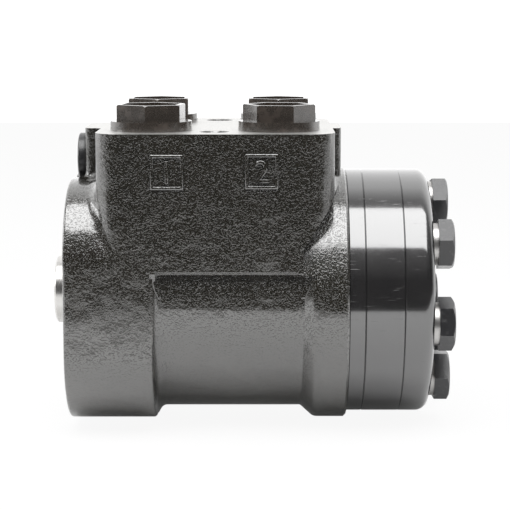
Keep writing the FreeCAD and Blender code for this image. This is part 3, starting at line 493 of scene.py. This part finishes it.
def copied(part):
    """A copy of an object with a mesh of its own, selected alone."""
    twin = part.copy()
    twin.data = part.data.copy()
    bpy.context.scene.collection.objects.link(twin)
    only(twin)
    return twin


def discard(part):
    """Deletes an object that has done its work."""
    only(part)
    bpy.ops.object.delete()


spot = near_wall(frame["nodes"]["housing"], 60 * MM, -20 * MM)
body_radius = math.hypot(spot.y, spot.z)
print("round body's radius", round(body_radius / MM, 2), "mm")

# %% [markdown]
# The first tools follow the round body, so they start as its skin: an open cylinder, from
# which rings are extruded one by one where the body widens. A bisection trims such a skin,
# and a Solidify modifier thickens it outwards into a closed tool.


# %% Helpers for a tool that follows a round body
SKIN_SIDES = 256
SAME_PLACE = 0.001 * MM


def select_ring(part, along):
    """In edit mode, selects the ring of edges whose ends all lie at one X."""
    bpy.ops.mesh.select_all(action="DESELECT")
    bpy.ops.object.mode_set(mode="OBJECT")
    for edge in part.data.edges:
        ends = [part.data.vertices[end].co.x for end in edge.vertices]
        edge.select = all(abs(end - along) < SAME_PLACE for end in ends)
    bpy.ops.object.mode_set(mode="EDIT")


def grow_rings(part, base, rings, radius, drop):
    """Extrudes a skin's last ring through (run, rise) steps in mm; the first is where it is."""
    places = [(base + run * MM, radius + rise * MM) for run, rise in rings]
    for (x_old, r_old), (x_new, r_new) in zip(places, places[1:]):
        select_ring(part, x_old)
        step = (x_new - x_old, 0, -drop)
        bpy.ops.mesh.extrude_region_move(TRANSFORM_OT_translate={"value": step})
        bpy.ops.transform.resize(value=(1, r_new / r_old, r_new / r_old))
        drop = 0


def round_skin(start, end, radius):
    """The open skin of a cylinder round the main axis, left in edit mode."""
    bpy.ops.object.select_all(action="DESELECT")
    bpy.ops.mesh.primitive_cylinder_add(
        vertices=SKIN_SIDES, radius=radius, depth=end - start, end_fill_type="NOTHING",
        location=((start + end) / 2, 0, 0), rotation=(0, math.radians(90), 0))
    bpy.ops.object.transform_apply(location=True, rotation=True)
    bpy.ops.object.mode_set(mode="EDIT")
    bpy.ops.mesh.select_mode(type="EDGE")
    return bpy.context.object


def trim(place, way):
    """In edit mode, clears what lies beyond a plane."""
    bpy.ops.mesh.select_all(action="SELECT")
    bpy.ops.mesh.bisect(plane_co=place, plane_no=way, clear_outer=True)


def thicken(part, depth):
    """Leaves edit mode and makes a skin a closed solid, outwards."""
    bpy.ops.object.mode_set(mode="OBJECT")
    thickness = part.modifiers.new("thickness", "SOLIDIFY")
    thickness.thickness = depth
    thickness.offset = 1
    bpy.ops.object.modifier_apply(modifier=thickness.name)
    bpy.ops.object.mode_set(mode="EDIT")
    bpy.ops.mesh.select_all(action="SELECT")
    bpy.ops.mesh.normals_make_consistent(inside=False)
    bpy.ops.object.mode_set(mode="OBJECT")


print("tools follow the body with", SKIN_SIDES, "sides")

# %% [markdown]
# Under the port block the real casting steps back to its round body at once, with a small
# edge that catches the light. The CAD housing runs in on a long slant there, because its
# solid didn't stand a steep underside, and a slant would mirror the white table where the
# real one is dark. This cutter takes it off both sides. It keeps a hair's breadth off the
# round body, widens with the front cove and the rear cone, and two bisections leave only
# the strips beside the slant.

# %% Cutter for the step under the port block
FLANGE_END = 32.0 * MM
REAR_CONE = 84.7 * MM
REAR_DROP = 0.9 * MM
BLOCK_SIDE = 46.0 * MM
BLOCK_FOOT = 12.7 * MM
STRIP_LOW = -11.0 * MM
SKIN_GAP = 0.05 * MM
CUTTER_DEPTH = 8.0 * MM
FRONT_RINGS = ((3.1, 0.0), (1.9, 0.25), (1.0, 0.95), (0.3, 2.3))
REAR_RINGS = ((0.0, 0.0), (1.7, 0.3), (3.3, 1.7), (4.8, 2.9), (6.3, 3.45), (8.5, 3.5))

skin_radius = body_radius + SKIN_GAP
strip_top = BLOCK_FOOT * body_radius / math.hypot(BLOCK_FOOT, BLOCK_SIDE)
cutter = round_skin(FLANGE_END + FRONT_RINGS[0][0] * MM, REAR_CONE, skin_radius)
grow_rings(cutter, FLANGE_END, FRONT_RINGS, skin_radius, 0)
grow_rings(cutter, REAR_CONE, REAR_RINGS, skin_radius, REAR_DROP)
trim((0, 0, strip_top), (0, 0, 1))
trim((0, 0, STRIP_LOW), (0, 0, -1))
thicken(cutter, CUTTER_DEPTH)
print("step cutter", len(cutter.data.polygons), "faces")

# %% [markdown]
# The block's rear corners are cut as well. In the photograph the rear flange comes out from
# under the block along a line that falls forwards, from the block's rear face to the end of
# the step. The tool is a cube whose top is tilted along that line and which reaches through
# the whole block. The flange's own cylinder is taken out of it, so it spares the flange.

# %% Cutter for the block's rear corners
CORNER_FRONT = 85.7 * MM
CORNER_END = 99.0 * MM
CORNER_TOPS = (21.5 * MM, 42.2 * MM)
CORNER_REACH = 60.0 * MM
CORNER_OVERLAP = 1.0 * MM
FLANGE_CORE_LENGTH = 4 * (CORNER_END - CORNER_FRONT)
REAR_RISE = REAR_RINGS[-1][1] * MM

bpy.ops.object.select_all(action="DESELECT")
bpy.ops.mesh.primitive_cylinder_add(
    vertices=SKIN_SIDES, radius=skin_radius + REAR_RISE, depth=FLANGE_CORE_LENGTH,
    location=(CORNER_END, 0, -REAR_DROP), rotation=(0, math.radians(90), 0))
flange_core = bpy.context.object
bpy.ops.object.select_all(action="DESELECT")
bpy.ops.mesh.primitive_cube_add(size=1)
corner_cutter = bpy.context.object
for vertex in corner_cutter.data.vertices:
    behind = vertex.co.x > 0
    place_x = CORNER_END if behind else CORNER_FRONT
    place_z = CORNER_TOPS[behind] if vertex.co.z > 0 else strip_top - CORNER_OVERLAP
    vertex.co = (place_x, vertex.co.y * 2 * CORNER_REACH, place_z)
sparing = corner_cutter.modifiers.new("sparing", "BOOLEAN")
sparing.operation = "DIFFERENCE"
sparing.solver = "EXACT"
sparing.object = flange_core
bpy.ops.object.modifier_apply(modifier=sparing.name)
discard(flange_core)
print("corner cutter", len(corner_cutter.data.polygons), "faces")

# %% [markdown]
# The lower edge that the step leaves is sharp, and a cast one never is. A Bevel modifier
# would have to find these two edges among thousands of others, so two long bars that stand
# on their edges, one on each side of the block, take it off at 45 degrees.

# %% Bars that chamfer the block's lower edges
EDGE_CUT = 0.9 * MM
BAR = 4.0 * MM
BAR_FROM = 33.0 * MM
BAR_TO = 84.0 * MM

reach = EDGE_CUT / 2 - BAR / 2 / math.sqrt(2)
bars = []
for side in (-1, 1):
    bpy.ops.object.select_all(action="DESELECT")
    bpy.ops.mesh.primitive_cube_add(
        size=1, location=((BAR_FROM + BAR_TO) / 2, side * (BLOCK_SIDE - reach), BLOCK_FOOT + reach))
    bar = bpy.context.object
    bar.scale = (BAR_TO - BAR_FROM, BAR, BAR)
    bar.rotation_euler = (math.radians(45), 0, 0)
    bpy.ops.object.transform_apply(location=True, rotation=True, scale=True)
    bars.append(bar)
print("bars", len(bars))

# %% [markdown]
# Six holes are tapped: four in the column face and two between the ports. In the CAD model
# they are plain bores of the tap drill's size, because a thread costs a solid thousands of
# faces, but in such a hole the thread is what the eye finds. A tap cuts a V that winds
# round the bore, so the tool here is that V: a triangle, wound up by a Screw modifier one
# pitch to a turn. All six are of one size, so one tap is made and copied. The record says
# where the holes are and how wide.

# %% Taps for the six holes
THREAD_PITCH = 1.5 * MM
THREAD_DEPTH = 0.72 * MM
THREAD_GROOVE = 1.3 * MM
THREAD_TURNS = 9
THREAD_STEPS = 32
BORE_OVERLAP = 0.15 * MM
TAP_START = 0.3 * MM


def screw_tap(radius):
    """The V that a tap cuts round a bore on the Z axis, wound down from the XY plane."""
    bpy.ops.object.select_all(action="DESELECT")
    bpy.ops.mesh.primitive_circle_add(vertices=3, radius=1, fill_type="NOTHING")
    tap = bpy.context.object
    inner = radius - BORE_OVERLAP
    corners = ((inner, 0), (radius + THREAD_DEPTH, 0.5), (inner, 1))
    for vertex, (out, down) in zip(tap.data.vertices, corners):
        vertex.co = (out, 0, -down * THREAD_GROOVE)
    winding = tap.modifiers.new("winding", "SCREW")
    winding.steps = THREAD_STEPS
    winding.render_steps = THREAD_STEPS
    winding.iterations = THREAD_TURNS
    winding.screw_offset = -THREAD_PITCH
    bpy.ops.object.modifier_apply(modifier=winding.name)
    bpy.ops.object.mode_set(mode="EDIT")
    bpy.ops.mesh.select_all(action="SELECT")
    bpy.ops.mesh.fill_holes(sides=3)
    bpy.ops.mesh.select_all(action="SELECT")
    bpy.ops.mesh.normals_make_consistent(inside=False)
    bpy.ops.object.mode_set(mode="OBJECT")
    return tap


def tap_hole(tap, place, turn):
    """A copy of the tap in one hole, turned from pointing down to the hole's direction."""
    set_tap = copied(tap)
    set_tap.rotation_euler = turn
    set_tap.location = place
    bpy.ops.object.transform_apply(location=True, rotation=True)
    return set_tap


mounts = {mount["name"]: mount for mount in frame["record"]["mounts"]}
column = mounts["column_bolts"]
block_top = mounts["port_face_bolts"]
assert column["dims"]["hole_r_mm"] == block_top["dims"]["hole_r_mm"]
tap = screw_tap(column["dims"]["hole_r_mm"] * MM)
taps = []
for number in range(column["dims"]["count"]):
    angle = math.radians(45 + 90 * number)
    ring = column["dims"]["pcd_mm"] / 2 * MM
    place = (-TAP_START, ring * math.cos(angle), ring * math.sin(angle))
    taps.append(tap_hole(tap, place, (0, math.radians(-90), 0)))
for side in (-1, 1):
    across = side * block_top["dims"]["spacing_y_mm"] / 2 * MM
    place = (block_top["pos_m"][0], across, PORT_FACE - TAP_START)
    taps.append(tap_hole(tap, place, (0, 0, 0)))
discard(tap)
print("taps", len(taps), "of", len(taps[0].data.polygons), "faces each")

# %% [markdown]
# All tools are joined and taken out of a copy of the housing by one Boolean modifier. The
# CAD mesh is loose triangles, so the copy is merged first, and its stored normals are
# cleared, because a cut would leave them wrong. The modifier is told to expect tools that
# cross each other, which is slower and safe. Afterwards edges over 30 degrees stay sharp,
# and a Weighted Normal modifier lets the large faces decide the shading, so that they look
# flat up to their rounded edges. The copy replaces the CAD node in the picture only.

# %% The casting that stands in for the CAD housing
MERGE_WITHIN = 0.002 * MM
SHARP_OVER = math.radians(30)

casting = bpy.data.objects.new("housing_casting", frame["nodes"]["housing"].data.copy())
bpy.context.scene.collection.objects.link(casting)
only(casting)
bpy.ops.object.mode_set(mode="EDIT")
bpy.ops.mesh.select_all(action="SELECT")
bpy.ops.mesh.remove_doubles(threshold=MERGE_WITHIN)
bpy.ops.object.mode_set(mode="OBJECT")
bpy.ops.mesh.customdata_custom_splitnormals_clear()
faces_before = len(casting.data.polygons)

only(cutter)
for tool in [corner_cutter] + bars + taps:
    tool.select_set(True)
bpy.ops.object.join()

only(casting)
machining = casting.modifiers.new("machining", "BOOLEAN")
machining.operation = "DIFFERENCE"
machining.solver = "EXACT"
machining.use_self = True
machining.object = cutter
bpy.ops.object.modifier_apply(modifier=machining.name)
bpy.ops.object.shade_smooth_by_angle(angle=SHARP_OVER)
shading = casting.modifiers.new("shading", "WEIGHTED_NORMAL")
shading.keep_sharp = True
bpy.ops.object.modifier_apply(modifier=shading.name)
discard(cutter)

casting.data.materials.clear()
casting.data.materials.append(cast.material)
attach(casting, "casing")
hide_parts("housing")
print("casting", faces_before, "faces before the cuts,", len(casting.data.polygons), "after")

# %% [markdown]
# The foundry's pattern leaves a mark in a square frame on the near side of the port block,
# one below each port. The marks here are plain numbers. A frame could be four bars, but its
# corners are cleaner as a plane that is inset, loses its middle and is then extruded. Cast
# letters have no sharp edges, so it gets a bevel, which catches the light. It is made once,
# and each mark gets a copy.

# %% Frame of a mark
MARK_WIDTH = 11.8 * MM
MARK_HEIGHT = 12.5 * MM
MARK_LINE = 1.2 * MM
MARK_RELIEF = 0.9 * MM
MARK_FOOT = 0.3 * MM
MARK_DEPTH = MARK_RELIEF + MARK_FOOT
MARK_EDGE = 0.45 * MM


def square_frame(width, height, line, depth):
    """A flat square frame in the XY plane, as deep as asked, with rounded edges."""
    bpy.ops.object.select_all(action="DESELECT")
    bpy.ops.mesh.primitive_plane_add(size=1)
    square = bpy.context.object
    square.scale = (width, height, 1)
    bpy.ops.object.transform_apply(scale=True)
    bpy.ops.object.mode_set(mode="EDIT")
    bpy.ops.mesh.inset(thickness=line)
    bpy.ops.mesh.delete(type="FACE")
    bpy.ops.mesh.select_all(action="SELECT")
    bpy.ops.mesh.extrude_region_move(TRANSFORM_OT_translate={"value": (0, 0, depth)})
    bpy.ops.mesh.select_all(action="SELECT")
    bpy.ops.mesh.normals_make_consistent(inside=False)
    bpy.ops.object.mode_set(mode="OBJECT")
    rounding = square.modifiers.new("rounding", "BEVEL")
    rounding.width = MARK_EDGE
    rounding.segments = 3
    bpy.ops.object.modifier_apply(modifier=rounding.name)
    return square


blank_frame = square_frame(MARK_WIDTH, MARK_HEIGHT, MARK_LINE, MARK_DEPTH)
print("frame", len(blank_frame.data.polygons), "faces")

# %% [markdown]
# A number is a text object in Blender's own font, with a rounded edge that eats into the
# letter instead of making it fatter. As a mesh it is scaled to its height and depth, joined
# with a copy of the frame and stood up. A ray from the front finds where the wall lies, and
# the mark's foot sinks a little into it.

# %% Raised numbers
NUMBER_HEIGHT = 8.0 * MM
NUMBER_HALF_DEPTH = 0.05
NUMBER_EDGE = 0.035
NUMBER_GROWTH = 0.01
MARK_SHARP_OVER = math.radians(35)
MARK_PLACES = {"1": (37.4 * MM, 49.1 * MM), "2": (70.9 * MM, 49.4 * MM)}


def solid_number(number, height, depth):
    """A number as a mesh that stands on the XY plane, centred, as high and deep as asked."""
    bpy.ops.object.select_all(action="DESELECT")
    bpy.ops.object.text_add()
    letters = bpy.context.object
    letters.data.body = number
    letters.data.extrude = NUMBER_HALF_DEPTH
    letters.data.bevel_depth = NUMBER_EDGE
    letters.data.bevel_resolution = 2
    letters.data.offset = NUMBER_GROWTH - NUMBER_EDGE
    letters.data.resolution_u = 4
    bpy.ops.object.convert(target="MESH")
    bpy.ops.object.origin_set(type="ORIGIN_GEOMETRY", center="BOUNDS")
    size = letters.dimensions
    letters.scale = (height / size.y, height / size.y, depth / size.z)
    letters.location = (0, 0, depth / 2)
    bpy.ops.object.transform_apply(location=True, scale=True)
    return letters


def raised_mark(number, along, height):
    """A number in a square frame, on the wall below a port."""
    letters = solid_number(number, NUMBER_HEIGHT, MARK_DEPTH)
    square = copied(blank_frame)
    letters.select_set(True)
    bpy.ops.object.join()
    square.name = "cast_number_" + number
    bpy.ops.object.shade_smooth_by_angle(angle=MARK_SHARP_OVER)
    square.rotation_euler = (math.radians(90), 0, 0)
    square.location = (along, near_wall(casting, along, height).y + MARK_FOOT, height)
    bpy.ops.object.transform_apply(location=True, rotation=True)
    square.data.materials.clear()
    square.data.materials.append(cast.material)
    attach(square, "casing")
    return square


for number, (along, height) in MARK_PLACES.items():
    mark = raised_mark(number, along, height)
    print(mark.name, "at", round(along / MM, 1), round(height / MM, 1), "mm")
discard(blank_frame)
